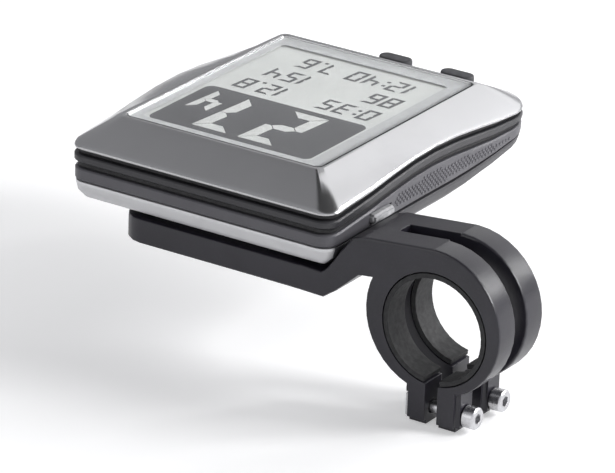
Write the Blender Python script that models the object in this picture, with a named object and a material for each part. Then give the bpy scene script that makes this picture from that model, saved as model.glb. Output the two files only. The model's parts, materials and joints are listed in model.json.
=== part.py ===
"""Handlebar computer mount with its docked cycle computer.

A moulded bracket grips one extension bar with two narrow bands. Its arm drops beside the computer
to a tray below it, which carries a slide-in dock. The computer is a stack of shells whose foot
slides out of the dock along +Y, towards the rider.

Frame: origin on the bar's axis midway between the two bands, +X away from the computer,
+Y along the bar towards the rider, +Z up. Sizes are in metres.
"""
import math

import bmesh
import bpy
import numpy as np
from mathutils import Matrix, Vector

for old in list(bpy.data.objects):
    bpy.data.objects.remove(old, do_unlink=True)

MM = 0.001

# General fits
GAP = 0.3 * MM              # between neighbours that touch in the real object
SCREW_CLEARANCE = 0.3 * MM  # round a screw's shank
THREAD_CLEARANCE = 0.1 * MM
ROUND_SIDES = 40            # sides of the bar bore and the bands
CORNER_STEPS = 6            # facets of each corner of the computer's outline

# Bar and bands
BAR_RADIUS = 11.1 * MM
PAD_THICKNESS = 1.0 * MM
BAND_THICKNESS = 3.6 * MM   # on average
BAND_SHIFT = -0.6 * MM      # of the bands' outer round from the bar's axis, sideways
BAND_RISE = 1.4 * MM        # and upwards, where the arm starts
BAND_WIDTH = 6.5 * MM
BAND_SPACING = 10.7 * MM    # centre to centre along the bar
BRACKET_EDGE = 0.6 * MM     # rounding of the bracket's moulded edges
PINCH_SLOT = 3.0 * MM
LUG_THICKNESS = 5.0 * MM
LUG_DROP = 7.0 * MM         # below the band
LUG_EDGE = 1.0 * MM
PINCH_BOLT_RADIUS = 1.25 * MM
PINCH_HEAD_RADIUS = 2.4 * MM
PINCH_HEAD_HEIGHT = 2.6 * MM
PINCH_HEAD_EDGE = 0.3 * MM
PINCH_KEY_WIDTH = 2.0 * MM
PINCH_KEY_DEPTH = 1.4 * MM
PINCH_NUT_WIDTH = 5.0 * MM
PINCH_NUT_HEIGHT = 2.2 * MM

# Computer
CASE_WIDTH = 66.0 * MM
CASE_LENGTH = 83.0 * MM
CASE_FRONT_Y = -11.0 * MM     # near end, away from the rider
CASE_TO_BAR = 57.0 * MM       # from the bar's axis to the computer's centre line
CASE_FLOOR_Z = 7.5 * MM       # underside of the computer above the bar's axis
FRONT_CORNER = 4.0 * MM
REAR_CORNER = 10.0 * MM
TIGHTEST_CORNER = 1.5 * MM    # of the outlines drawn in from the side
WALL = 2.2 * MM
BASE_HEIGHT = 4.0 * MM
BASE_FLOOR = 2.0 * MM
BASE_TAPER = 2.5 * MM         # how far the floor is drawn in
BASE_RECESS = 0.4 * MM        # of the base's upper edge
BASE_EDGE = 0.6 * MM          # its upright height
REAR_SHELL_HEIGHT = 2.7 * MM
REAR_SHELL_RECESS = 0.2 * MM
GASKET_HEIGHT = 0.8 * MM
GASKET_RECESS = 0.9 * MM
MIDDLE_HEIGHT = 1.7 * MM
SHELL_EDGE = 0.3 * MM         # chamfer of the shells' outer edges
SKIRT_HEIGHT = 0.8 * MM
BEZEL_RISE = 5.6 * MM
BEZEL_INSET = 7.6 * MM
BEZEL_REAR_INSET = 12.6 * MM
BEZEL_EDGE = 0.5 * MM         # rounding of the bezel's lower edge
RIM_WIDTH = 0.8 * MM
WINDOW_THICKNESS = 1.0 * MM
WINDOW_LEDGE = 1.6 * MM
LCD_THICKNESS = 2.0 * MM
LCD_MARGIN = 0.5 * MM         # inside the bezel's opening
BOARD_THICKNESS = 1.2 * MM
BOARD_MARGIN = 1.0 * MM       # inside the walls
BOARD_CORNER = 3.0 * MM
BOARD_BESIDE_KEYS = 6.0 * MM
BOARD_BEHIND_KEYS = 1.7 * MM
BATTERY_WIDTH = 36.0 * MM
BATTERY_LENGTH = 34.0 * MM
BATTERY_HEIGHT = 6.0 * MM
BATTERY_FROM_FRONT = 8.0 * MM

# Arched sides, and the lift of the underside towards the rear end
SIDE_START = 16.0 * MM        # first bend of the sides, from the front end
SIDE_BENDS = 7
ARCH_RISE = 3.2 * MM          # of the shells' edges in the middle of the sides
ARCH_FROM_REAR = 4.0 * MM     # where the arch ends
LIFT_START = 46.0 * MM        # from the front end
REAR_LIFT = 5.0 * MM

# Dock and foot
FOOT_NECK_WIDTH = 16.0 * MM
FOOT_FLANGE_WIDTH = 24.0 * MM
FOOT_FLANGE_THICKNESS = 1.6 * MM
FOOT_LENGTH = 35.0 * MM
FOOT_CLEARANCE = 0.4 * MM
FOOT_OVERLAP = 0.5 * MM       # into the base cover that it is moulded with
DOCK_LIP = 1.3 * MM
DOCK_WALL = 1.8 * MM
DOCK_FLOOR = 1.2 * MM
DOCK_FLANGE_WIDTH = 5.8 * MM
DOCK_STOP = 2.5 * MM
DOCK_LENGTH = 40.0 * MM
DOCK_FRONT = 6.0 * MM         # from the computer's front end to the dock's stop
FLOOR_CLEARANCE = 0.6 * MM    # under the foot, for the tongue's bump
TONGUE_WIDTH = 7.0 * MM
TONGUE_LENGTH = 14.0 * MM
TONGUE_SLOT = 1.0 * MM
TONGUE_BUMP = 0.4 * MM
BUMP_LENGTH = 3.0 * MM
BUMP_FROM_TIP = 2.0 * MM
DETENT_DEPTH = 0.6 * MM
DOCK_SCREW_RADIUS = 1.2 * MM
DOCK_SCREW_HEAD = 2.3 * MM
DOCK_SCREW_LENGTH = 4.4 * MM
DOCK_SCREW_FROM_END = 5.0 * MM
CROSS_SLOT_WIDTH = 0.6 * MM
CROSS_SLOT_LENGTH = 2.8 * MM
CROSS_SLOT_DEPTH = 0.5 * MM

# Tray and arm
TRAY_WIDTH = 44.0 * MM
TRAY_MARGIN = 3.0 * MM        # in front of the dock's stop, and behind its end
TRAY_FLOOR = 1.8 * MM
TRAY_CORNER = 6.0 * MM
ARM_ROOT = 1.0 * MM           # from the bar's axis, inside the bands
ARM_SHOULDER = 6.5 * MM       # from the computer's side to where the arm's top bends down
ARM_FALL = 1.5 * MM           # of the arm's top up to there
SHOULDER_SOFTENING = 0.8 * MM
ARM_DEPTH = 9.5 * MM
ARM_CLEARANCE = 1.0 * MM      # between the arm and the computer beside it
ARM_HEEL = 2.2 * MM           # height of the arm's underside above the tray's, below the computer's side
ARM_FILLET = 8.0 * MM         # in plan, where the arm's rear meets the tray

# Keys, port and screws of the computer
END_KEY_SPACING = 15.8 * MM
END_KEY_OFFSET = 6.7 * MM     # of the pair from the computer's centre line
END_KEY_WIDTH = 8.0 * MM
END_KEY_LENGTH = 3.6 * MM
END_KEY_RISE = 1.2 * MM
END_KEY_FROM_REAR = 4.6 * MM
SIDE_KEY_LENGTH = 8.0 * MM
SIDE_KEY_HEIGHT = 2.0 * MM
SIDE_KEY_RISE = 1.0 * MM
SIDE_KEY_REACH = 3.0 * MM     # inwards from the computer's side
SIDE_KEY_FROM_FRONT = 19.4 * MM
SIDE_KEY_LIFT = 2.0 * MM      # above the rear housing's lower edge
KEY_TRAVEL = 0.6 * MM
KEY_CLEARANCE = 0.2 * MM
KEY_EDGE = 0.5 * MM
SWITCH_WIDTH = 4.0 * MM
SWITCH_DEPTH = 2.8 * MM
SWITCH_HEIGHT = 0.8 * MM
PORT_WIDTH = 9.0 * MM
PORT_LENGTH = 3.4 * MM
PORT_WALL = 0.5 * MM
PORT_COVER_WIDTH = 14.0 * MM
PORT_COVER_LENGTH = 8.0 * MM
PORT_COVER_THICKNESS = 1.0 * MM
PORT_COVER_BEHIND_TRAY = 1.5 * MM
PORT_COVER_LIFT = 0.25 * MM   # as the underside rises there
CASE_SCREW_FROM_SIDE = 6.5 * MM
CASE_SCREW_FROM_FRONT = 11.0 * MM
CASE_SCREW_FROM_REAR = 21.0 * MM
CASE_SCREW_RADIUS = 1.0 * MM
CASE_SCREW_HEAD = 1.9 * MM
CASE_SCREW_HEAD_HEIGHT = 0.7 * MM
WELL_DEPTH = 1.0 * MM
POST_RADIUS = 2.0 * MM
SMALL_EDGE = 0.2 * MM

# Places worked out from the sizes
BORE_RADIUS = BAR_RADIUS + PAD_THICKNESS + GAP
BAND_RADIUS = BORE_RADIUS + BAND_THICKNESS
BAND_TOP = BAND_RISE + BAND_RADIUS
BANDS_WIDTH = BAND_SPACING + BAND_WIDTH
LUG_REACH = PINCH_SLOT / 2 + LUG_THICKNESS
LUG_BOTTOM = BAND_RISE - BAND_RADIUS - LUG_DROP
PINCH_Z = LUG_BOTTOM + BAND_WIDTH / 2
CASE_X = -CASE_TO_BAR
CASE_SIDE = CASE_X + CASE_WIDTH / 2
CASE_REAR_Y = CASE_FRONT_Y + CASE_LENGTH
BASE_TOP = CASE_FLOOR_Z + BASE_HEIGHT
REAR_SHELL_BOTTOM = BASE_TOP + GAP
REAR_SHELL_TOP = REAR_SHELL_BOTTOM + REAR_SHELL_HEIGHT
LOWER_GASKET_BOTTOM = REAR_SHELL_TOP + GAP
MIDDLE_BOTTOM = LOWER_GASKET_BOTTOM + GASKET_HEIGHT + GAP
UPPER_GASKET_BOTTOM = MIDDLE_BOTTOM + MIDDLE_HEIGHT + GAP
SKIRT_BOTTOM = UPPER_GASKET_BOTTOM + GASKET_HEIGHT + GAP
EDGE_Z = SKIRT_BOTTOM + SKIRT_HEIGHT
RIM_Z = EDGE_Z + BEZEL_RISE
WINDOW_BOTTOM = RIM_Z - WINDOW_THICKNESS
LEDGE_Z = WINDOW_BOTTOM - GAP
LEDGE_BOTTOM = LEDGE_Z - WINDOW_THICKNESS
OPENING_INSET = BEZEL_INSET + RIM_WIDTH
OPENING_REAR_INSET = BEZEL_REAR_INSET + RIM_WIDTH
BATTERY_BOTTOM = CASE_FLOOR_Z + BASE_FLOOR + GAP
BOARD_BOTTOM = BATTERY_BOTTOM + BATTERY_HEIGHT + GAP
BOARD_TOP = BOARD_BOTTOM + BOARD_THICKNESS
DOCK_TOP = CASE_FLOOR_Z - GAP
LIP_BOTTOM = DOCK_TOP - DOCK_LIP
FLANGE_TOP = LIP_BOTTOM - FOOT_CLEARANCE
FLANGE_BOTTOM = FLANGE_TOP - FOOT_FLANGE_THICKNESS
DOCK_FLOOR_TOP = FLANGE_BOTTOM - FLOOR_CLEARANCE
DOCK_BOTTOM = DOCK_FLOOR_TOP - DOCK_FLOOR
DOCK_Y = CASE_FRONT_Y + DOCK_FRONT
DOCK_MIDDLE_Y = DOCK_Y + DOCK_LENGTH / 2
BUMP_Y = DOCK_MIDDLE_Y + TONGUE_LENGTH / 2 - TONGUE_SLOT - BUMP_FROM_TIP
CHANNEL_HALF = FOOT_FLANGE_WIDTH / 2 + FOOT_CLEARANCE
DOCK_HALF = CHANNEL_HALF + DOCK_WALL
TRAY_TOP = LIP_BOTTOM - GAP
TRAY_BOTTOM = DOCK_BOTTOM - GAP - TRAY_FLOOR
TRAY_FRONT = DOCK_Y - TRAY_MARGIN
TRAY_REAR = DOCK_Y + DOCK_LENGTH + TRAY_MARGIN
TRAY_SIDE = CASE_X + TRAY_WIDTH / 2
PORT_Y = TRAY_REAR + PORT_COVER_BEHIND_TRAY + PORT_COVER_LENGTH / 2
SIDE_KEY_Y = CASE_FRONT_Y + SIDE_KEY_FROM_FRONT
SIDE_KEY_Z = REAR_SHELL_BOTTOM + SIDE_KEY_LIFT
COVER_Z = CASE_FLOOR_Z + PORT_COVER_LIFT


def material(name, colour, roughness, metallic=0.0, transmission=0.0):
    made = bpy.data.materials.new(name)
    made.use_nodes = True
    shader = made.node_tree.nodes["Principled BSDF"]
    shader.inputs["Base Color"].default_value = (*colour, 1)
    shader.inputs["Roughness"].default_value = roughness
    shader.inputs["Metallic"].default_value = metallic
    shader.inputs["Transmission Weight"].default_value = transmission
    made.diffuse_color = (*colour, 1)
    return made


CHARCOAL = material("charcoal plastic", (0.030, 0.028, 0.034), 0.42)
GREY_SHELL = material("grey shell", (0.30, 0.30, 0.31), 0.38)
SILVER_SHELL = material("silver shell", (0.62, 0.62, 0.63), 0.32)
SEAL = material("seal rubber", (0.012, 0.012, 0.013), 0.75)
KEY_RUBBER = material("key rubber", (0.05, 0.05, 0.055), 0.6)
CLEAR = material("clear window", (0.95, 0.96, 0.97), 0.05, 0.0, 1.0)
LCD_GLASS = material("lcd glass", (0.55, 0.57, 0.52), 0.25)
STEEL = material("steel", (0.55, 0.55, 0.57), 0.3, 1.0)
BOARD_GREEN = material("circuit board", (0.02, 0.16, 0.07), 0.5)
FOIL = material("battery foil", (0.6, 0.6, 0.62), 0.35, 0.8)


# Meshes and modifiers

def finish(name, bm, look, smooth_angle=30):
    """Turns a bmesh into a named object with its material and shading."""
    bmesh.ops.recalc_face_normals(bm, faces=bm.faces)
    mesh = bpy.data.meshes.new(name)
    bm.to_mesh(mesh)
    bm.free()
    obj = bpy.data.objects.new(name, mesh)
    bpy.context.scene.collection.objects.link(obj)
    mesh.materials.append(look)
    mesh.shade_smooth()
    mesh.set_sharp_from_angle(angle=math.radians(smooth_angle))
    return obj


def combine(obj, bm, operation, name):
    """Adds a bmesh to an object, or cuts it out, through a Boolean and a hidden helper."""
    helper = finish(f"{obj.name}.{name}", bm, obj.data.materials[0])
    helper.hide_render = True
    helper.display_type = "WIRE"
    step = obj.modifiers.new(name, "BOOLEAN")
    step.operation = operation
    step.solver = "EXACT"
    step.object = helper


def cut(obj, bm, name):
    combine(obj, bm, "DIFFERENCE", name)


def join(obj, bm, name):
    combine(obj, bm, "UNION", name)


def set_origin(obj, place):
    """Puts the object's origin on its joint's axis, with its shape where it was."""
    obj.data.transform(Matrix.Translation(-Vector(place)))
    obj.location = place


def loft(rings, ends="flat"):
    """Skins equal rings of points. Ends are flat caps, strips from side to side, or joined to each other."""
    bm = bmesh.new()
    loops = [[bm.verts.new(p) for p in ring] for ring in rings]
    count = len(loops[0])
    pairs = list(zip(loops, loops[1:]))
    if ends == "joined":
        pairs.append((loops[-1], loops[0]))
    for low, high in pairs:
        for i in range(count):
            j = (i + 1) % count
            bm.faces.new((low[i], low[j], high[j], high[i]))
    for loop in (loops[0], loops[-1]):
        if ends == "flat":
            bm.faces.new(loop)
        elif ends == "strips":
            strip_cap(bm, loop)
    return bm


def strip_cap(bm, loop):
    """Caps one of the computer's outlines with strips from side to side, so that the cap can bend."""
    count, turn = len(loop), 2 * CORNER_STEPS + 1
    first = CORNER_STEPS + 1
    for i in range(first, first + count // 2 - 1):
        bm.faces.new((loop[i], loop[i + 1], loop[(turn - i - 1) % count], loop[(turn - i) % count]))


def box(low, high, bevel=0.0, segments=1):
    bm = bmesh.new()
    bmesh.ops.create_cube(bm, size=1)
    low, high = Vector(low), Vector(high)
    for v in bm.verts:
        v.co = (low + high) / 2 + Vector(a * b for a, b in zip(v.co, high - low))
    if bevel:
        bmesh.ops.bevel(bm, geom=bm.edges[:], offset=bevel, segments=segments, affect="EDGES")
    return bm


def ring_points(radius, sides=ROUND_SIDES):
    angles = [2 * math.pi * i / sides for i in range(sides)]
    return [(radius * math.cos(a), radius * math.sin(a)) for a in angles]


def turned(profile, centre, axis, sides=20):
    """A solid of revolution: profile holds (radius, distance along the axis), from one end to the other."""
    centre, axis = Vector(centre), Vector(axis).normalized()
    turn = Vector((0, 0, 1)).rotation_difference(axis).to_matrix()
    rings = []
    for radius, along in profile:
        circle = ring_points(radius, sides)
        rings.append([centre + turn @ Vector((x, y, along)) for x, y in circle])
    return loft(rings)


def extruded(points, start, end, axis="Y"):
    """A prism: the points are (x, z) for axis Y and (x, y) for axis Z."""
    if axis == "Y":
        rings = [[Vector((x, s, z)) for x, z in points] for s in (start, end)]
    else:
        rings = [[Vector((x, y, s)) for x, y in points] for s in (start, end)]
    return loft(rings)


def arc(cx, cy, radius, start, end, steps):
    """Points along an arc, in degrees."""
    for i in range(steps + 1):
        a = math.radians(start + (end - start) * i / steps)
        yield cx + radius * math.cos(a), cy + radius * math.sin(a)


def rounded(x0, y0, x1, y1, front, rear, steps=4, side_points=()):
    """A rectangle with round corners, anticlockwise from its front left corner."""
    points = list(arc(x0 + front, y0 + front, front, 180, 270, steps))
    points += arc(x1 - front, y0 + front, front, 270, 360, steps)
    points += [(x1, y) for y in side_points]
    points += arc(x1 - rear, y1 - rear, rear, 0, 90, steps)
    points += arc(x0 + rear, y1 - rear, rear, 90, 180, steps)
    points += [(x0, y) for y in reversed(side_points)]
    return points


def edge_steps(low, high, edge, steps=2):
    """Pairs of inset and height that round the two outer edges of a wall."""
    start = [(edge * (1 - math.sin(a)), low + edge * (1 - math.cos(a)))
             for a in (math.pi / 2 * i / steps for i in range(steps + 1))]
    return start + [(inset, low + high - z) for inset, z in reversed(start)]


def soft_slab(low, high, corner, edge):
    """A plate with round corners in plan and rounded edges above and below."""
    rings = []
    for inset, z in edge_steps(low[2], high[2], edge):
        radius = corner - inset
        plan = rounded(low[0] + inset, low[1] + inset, high[0] - inset, high[1] - inset, radius, radius)
        rings.append([Vector((x, y, z)) for x, y in plan])
    return loft(rings)


# Bracket

def arm_profiles():
    """The arm's top and underside as (x, z), from the bands down beside the computer and under it."""
    shoulder = CASE_SIDE + ARM_SHOULDER
    end = CASE_X + DOCK_HALF + MM
    arm_top = BAND_TOP - ARM_FALL
    top = [(-ARM_ROOT, BAND_TOP), (shoulder, arm_top),
           (shoulder - 0.4 * ARM_SHOULDER, arm_top - SHOULDER_SOFTENING),
           (CASE_SIDE + ARM_CLEARANCE, BASE_TOP),
           (CASE_SIDE, BASE_TOP - BASE_EDGE - ARM_CLEARANCE),
           (CASE_SIDE - BASE_TAPER, CASE_FLOOR_Z - ARM_CLEARANCE),
           (CASE_SIDE - 1.5 * BASE_TAPER, TRAY_TOP), (end, TRAY_TOP)]
    wall_middle = (BORE_RADIUS + BAND_RADIUS) / 2
    first = 90 + math.degrees(math.asin(ARM_ROOT / wall_middle))
    last = 180 - math.degrees(math.asin((BAND_TOP - ARM_DEPTH) / wall_middle))
    under = list(arc(0, 0, wall_middle, first, last, 4))
    under += [(shoulder - MM, BAND_TOP - ARM_DEPTH - SHOULDER_SOFTENING),
              (CASE_SIDE, TRAY_BOTTOM + ARM_HEEL),
              (CASE_SIDE - 1.25 * BASE_TAPER, TRAY_BOTTOM), (end, TRAY_BOTTOM)]
    return top, under


def arm_front(x):
    """The arm's front edge in plan: a soft S from the bands' front to the tray's front."""
    start, end = CASE_SIDE + ARM_SHOULDER / 2, TRAY_SIDE - TRAY_CORNER / 2
    share = min(max((start - x) / (start - end), 0), 1)
    ease = (1 - math.cos(math.pi * share)) / 2
    return -BANDS_WIDTH / 2 + (TRAY_FRONT + BANDS_WIDTH / 2) * ease


def arm_rear(x):
    """The arm's rear edge in plan: straight, then a fillet that runs out along the tray's side."""
    reach = min(max(TRAY_SIDE + ARM_FILLET - x, 0), ARM_FILLET)
    return BANDS_WIDTH / 2 + ARM_FILLET - math.sqrt(ARM_FILLET**2 - reach**2)


def make_arm():
    """Slices across the arm, wherever one of its edges bends."""
    top, under = arm_profiles()
    stations = [x for x, z in top + under]
    stations += [x for x, y in arc(TRAY_SIDE + ARM_FILLET, 0, ARM_FILLET, 180, 90, 6)]
    stations += list(np.linspace(CASE_SIDE + ARM_SHOULDER / 2, TRAY_SIDE - TRAY_CORNER / 2, 8))
    rings = []
    for x in sorted({round(float(x), 6) for x in stations}):
        high = np.interp(x, *zip(*sorted(top)))
        low = np.interp(x, *zip(*sorted(under)))
        section = rounded(arm_front(x), low, arm_rear(x), high, BRACKET_EDGE, BRACKET_EDGE, 2)
        rings.append([Vector((x, y, z)) for y, z in section])
    return loft(rings)


def band_centres():
    return {"front": -BAND_SPACING / 2, "rear": BAND_SPACING / 2}


def make_bracket():
    body = finish("bracket", make_arm(), CHARCOAL)
    tray = soft_slab((CASE_X - TRAY_WIDTH / 2, TRAY_FRONT, TRAY_BOTTOM), (TRAY_SIDE, TRAY_REAR, TRAY_TOP),
                     TRAY_CORNER, BRACKET_EDGE)
    join(body, tray, "tray")
    for name, y in band_centres().items():
        low, high = y - BAND_WIDTH / 2, y + BAND_WIDTH / 2
        profile = [(BAND_RADIUS - inset, along) for inset, along in edge_steps(low, high, BRACKET_EDGE)]
        join(body, turned(profile, (BAND_SHIFT, 0, BAND_RISE), (0, 1, 0), ROUND_SIDES), f"band {name}")
        lug_top = BAND_THICKNESS / 2 - BORE_RADIUS
        lugs = box((-LUG_REACH, low, LUG_BOTTOM), (LUG_REACH, high, lug_top), LUG_EDGE, 2)
        join(body, lugs, f"lugs {name}")
    half_window = (BAND_SPACING - BAND_WIDTH) / 2
    window_end = -BORE_RADIUS - 2 * GAP
    cut(body, box((window_end, -half_window, 0), (BAND_RADIUS, half_window, BAND_TOP + MM)), "window")
    cut(body, extruded(ring_points(BORE_RADIUS), -BANDS_WIDTH, BANDS_WIDTH), "bar bore")
    half_slot = PINCH_SLOT / 2
    cut(body, box((-half_slot, -BANDS_WIDTH, LUG_BOTTOM - MM), (half_slot, BANDS_WIDTH, 0)), "pinch slot")
    hole, nut = PINCH_BOLT_RADIUS + SCREW_CLEARANCE, PINCH_NUT_WIDTH / 2 + GAP
    for name, y in band_centres().items():
        through = [(hole, -LUG_REACH - MM), (hole, LUG_REACH + MM)]
        cut(body, turned(through, (0, y, PINCH_Z), (1, 0, 0)), f"bolt {name}")
        cut(body, box((-LUG_REACH - MM, y - nut, PINCH_Z - nut),
                      (-LUG_REACH + PINCH_NUT_HEIGHT, y + nut, PINCH_Z + nut)), f"nut {name}")
    cut(body, box((CASE_X - DOCK_HALF - GAP, DOCK_Y - GAP, DOCK_BOTTOM - GAP),
                  (CASE_X + DOCK_HALF + GAP, TRAY_REAR + MM, TRAY_TOP + MM)), "dock channel")
    reach_x, reach_y = TONGUE_WIDTH / 2 + TONGUE_SLOT, TONGUE_LENGTH / 2 + TONGUE_SLOT
    cut(body, box((CASE_X - reach_x, DOCK_MIDDLE_Y - reach_y, TRAY_BOTTOM - MM),
                  (CASE_X + reach_x, DOCK_MIDDLE_Y + reach_y, TRAY_TOP)), "tongue opening")
    hole = DOCK_SCREW_RADIUS + SCREW_CLEARANCE
    through = [(hole, TRAY_BOTTOM - MM), (hole, TRAY_TOP + MM)]
    for name, (x, y) in dock_screw_places().items():
        cut(body, turned(through, (x, y, 0), (0, 0, 1), 12), f"screw {name}")


def make_band_pad(name, y):
    """A rubber strip round the bar, open at the pinch slot."""
    slot = math.degrees(math.asin((PINCH_SLOT / 2 + GAP) / BAR_RADIUS))
    outer = list(arc(0, 0, BAR_RADIUS + PAD_THICKNESS, -90 + slot, 270 - slot, ROUND_SIDES))
    inner = list(arc(0, 0, BAR_RADIUS, 270 - slot, -90 + slot, ROUND_SIDES))
    finish(f"band_pad_{name}", extruded(outer + inner, y - BAND_WIDTH / 2, y + BAND_WIDTH / 2), SEAL)


def make_pinch_bolt(name, y):
    shank, head, under_head = PINCH_BOLT_RADIUS, PINCH_HEAD_RADIUS, LUG_REACH + GAP
    top = under_head + PINCH_HEAD_HEIGHT
    profile = [(shank, -LUG_REACH), (shank, under_head), (head, under_head), (head, top - PINCH_HEAD_EDGE),
               (head - PINCH_HEAD_EDGE, top)]
    bolt = finish(f"pinch_bolt_{name}", turned(profile, (0, y, PINCH_Z), (1, 0, 0)), STEEL)
    corner = PINCH_KEY_WIDTH / math.sqrt(3)
    socket = [(corner, top - PINCH_KEY_DEPTH), (corner, top + MM)]
    cut(bolt, turned(socket, (0, y, PINCH_Z), (1, 0, 0), 6), "hex socket")
    half = PINCH_NUT_WIDTH / 2
    nut = box((-LUG_REACH, y - half, PINCH_Z - half),
              (-LUG_REACH + PINCH_NUT_HEIGHT - GAP, y + half, PINCH_Z + half), SMALL_EDGE)
    nut = finish(f"pinch_nut_{name}", nut, STEEL)
    hole = PINCH_BOLT_RADIUS + THREAD_CLEARANCE
    cut(nut, turned([(hole, -LUG_REACH - MM), (hole, 0)], (0, y, PINCH_Z), (1, 0, 0)), "thread")


# Dock

def dock_screw_places():
    x = DOCK_HALF + DOCK_FLANGE_WIDTH / 2
    front, rear = DOCK_Y + DOCK_SCREW_FROM_END, DOCK_Y + DOCK_LENGTH - DOCK_SCREW_FROM_END
    return {"front_left": (CASE_X - x, front), "front_right": (CASE_X + x, front),
            "rear_left": (CASE_X - x, rear), "rear_right": (CASE_X + x, rear)}


def dock_section():
    """Flanges that lie on the tray, and a channel with lips that hold the foot down."""
    neck, flange = FOOT_NECK_WIDTH / 2 + FOOT_CLEARANCE, DOCK_HALF + DOCK_FLANGE_WIDTH
    outside = [(flange, DOCK_TOP), (flange, LIP_BOTTOM), (DOCK_HALF, LIP_BOTTOM), (DOCK_HALF, DOCK_BOTTOM)]
    channel = [(CHANNEL_HALF, DOCK_FLOOR_TOP), (CHANNEL_HALF, LIP_BOTTOM)]
    inside = channel + [(neck, LIP_BOTTOM), (neck, DOCK_TOP)]
    right = inside + outside
    return [(CASE_X + x, z) for x, z in right] + [(CASE_X - x, z) for x, z in reversed(right)]


def make_tongue(dock):
    """Three slots free a spring tongue in the dock's floor, and a ridge across it catches the foot."""
    half_x, half_y = TONGUE_WIDTH / 2, TONGUE_LENGTH / 2
    low, high = DOCK_BOTTOM - MM, DOCK_FLOOR_TOP + SMALL_EDGE
    for name, x in (("left", CASE_X - half_x - TONGUE_SLOT), ("right", CASE_X + half_x)):
        cut(dock, box((x, DOCK_MIDDLE_Y - half_y, low), (x + TONGUE_SLOT, DOCK_MIDDLE_Y + half_y, high)),
            f"tongue {name}")
    reach, tip = half_x + TONGUE_SLOT, DOCK_MIDDLE_Y + half_y - TONGUE_SLOT
    cut(dock, box((CASE_X - reach, tip, low), (CASE_X + reach, tip + TONGUE_SLOT, high)), "tongue end")
    rings = []
    for x in (CASE_X - half_x + MM, CASE_X + half_x - MM):
        ridge = [(-BUMP_LENGTH / 2, -SMALL_EDGE), (BUMP_LENGTH / 2, -SMALL_EDGE),
                 (BUMP_LENGTH / 6, TONGUE_BUMP), (-BUMP_LENGTH / 6, TONGUE_BUMP)]
        rings.append([Vector((x, BUMP_Y + y, DOCK_FLOOR_TOP + z)) for y, z in ridge])
    join(dock, loft(rings), "tongue ridge")


def make_dock():
    dock = finish("dock", extruded(dock_section(), DOCK_Y, DOCK_Y + DOCK_LENGTH), CHARCOAL)
    stop = box((CASE_X - CHANNEL_HALF - MM, DOCK_Y, DOCK_BOTTOM),
               (CASE_X + CHANNEL_HALF + MM, DOCK_Y + DOCK_STOP, DOCK_TOP))
    join(dock, stop, "stop")
    make_tongue(dock)
    head, hole = DOCK_SCREW_HEAD + GAP, DOCK_SCREW_RADIUS + SCREW_CLEARANCE
    cone = [(hole, DOCK_BOTTOM), (hole, LIP_BOTTOM + SMALL_EDGE), (head, DOCK_TOP), (head, DOCK_TOP + MM)]
    for name, (x, y) in dock_screw_places().items():
        cut(dock, turned(cone, (x, y, 0), (0, 0, 1), 16), f"countersink {name}")


def make_dock_screw(name, x, y):
    top, shank = DOCK_TOP - THREAD_CLEARANCE, DOCK_SCREW_RADIUS
    under_head = top - (DOCK_SCREW_HEAD - shank)
    profile = [(shank, top - DOCK_SCREW_LENGTH), (shank, under_head), (DOCK_SCREW_HEAD, top)]
    screw = finish(f"dock_screw_{name}", turned(profile, (x, y, 0), (0, 0, 1), 16), STEEL)
    short, long, low = CROSS_SLOT_WIDTH / 2, CROSS_SLOT_LENGTH / 2, top - CROSS_SLOT_DEPTH
    cut(screw, box((x - short, y - long, low), (x + short, y + long, top + MM)), "slot along")
    cut(screw, box((x - long, y - short, low), (x + long, y + short, top + MM)), "slot across")


# Computer

def side_arch(point):
    """How far the shells' edges rise at a point of the computer's sides."""
    share = (point.y - CASE_FRONT_Y) / (CASE_LENGTH - ARCH_FROM_REAR)
    share = min(max(share, 0), 1)
    inset = CASE_WIDTH / 2 - abs(point.x - CASE_X)
    beside = min(max((OPENING_INSET - inset) / (OPENING_INSET - WALL), 0), 1)
    return ARCH_RISE * beside * (1 - math.cos(2 * math.pi * share)) / 2


def bent(point, arched=True):
    """Moves a point of the computer with the arch of its sides and the lift of its underside."""
    along = (point.y - CASE_FRONT_Y - LIFT_START) / (CASE_LENGTH - LIFT_START)
    rise = REAR_LIFT * max(along, 0)**2 * max(EDGE_Z - point.z, 0) / (EDGE_Z - CASE_FLOOR_Z)
    if arched:
        above = (point.z - BASE_TOP) / (REAR_SHELL_TOP - BASE_TOP)
        below = (RIM_Z - point.z) / BEZEL_RISE
        rise += side_arch(point) * max(min(above, below, 1), 0)
    return Vector((point.x, point.y, point.z + rise))


def shaped(bm, arched=True):
    for v in bm.verts:
        v.co = bent(v.co, arched)
    bmesh.ops.triangulate(bm, faces=bm.faces[:])
    return bm


def outline(inset, z, rear_inset=None):
    """The computer's outline from above, drawn in by an inset, as a ring at height z."""
    rear_inset = inset if rear_inset is None else rear_inset
    x = CASE_WIDTH / 2 - inset
    front = max(FRONT_CORNER - inset, TIGHTEST_CORNER)
    rear = max(REAR_CORNER - rear_inset, TIGHTEST_CORNER)
    y0, y1 = CASE_FRONT_Y + inset, CASE_REAR_Y - rear_inset
    first, last = CASE_FRONT_Y + SIDE_START, y1 - rear
    sides = [first + (last - first) * i / SIDE_BENDS for i in range(SIDE_BENDS)]
    ring = rounded(CASE_X - x, y0, CASE_X + x, y1, front, rear, CORNER_STEPS, sides)
    return [Vector((px, py, z)) for px, py in ring]


def shell_ring(name, bottom, height, recess, look, edge=0.0):
    """One closed ring of the stack, with its outer edges chamfered."""
    top = bottom + height
    heights = edge_steps(bottom, top, edge, 1) if edge else [(0, bottom), (0, top)]
    rings = [outline(recess + inset, z) for inset, z in heights]
    rings += [outline(WALL, top), outline(WALL, bottom)]
    return finish(name, shaped(loft(rings, "joined")), look)


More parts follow.
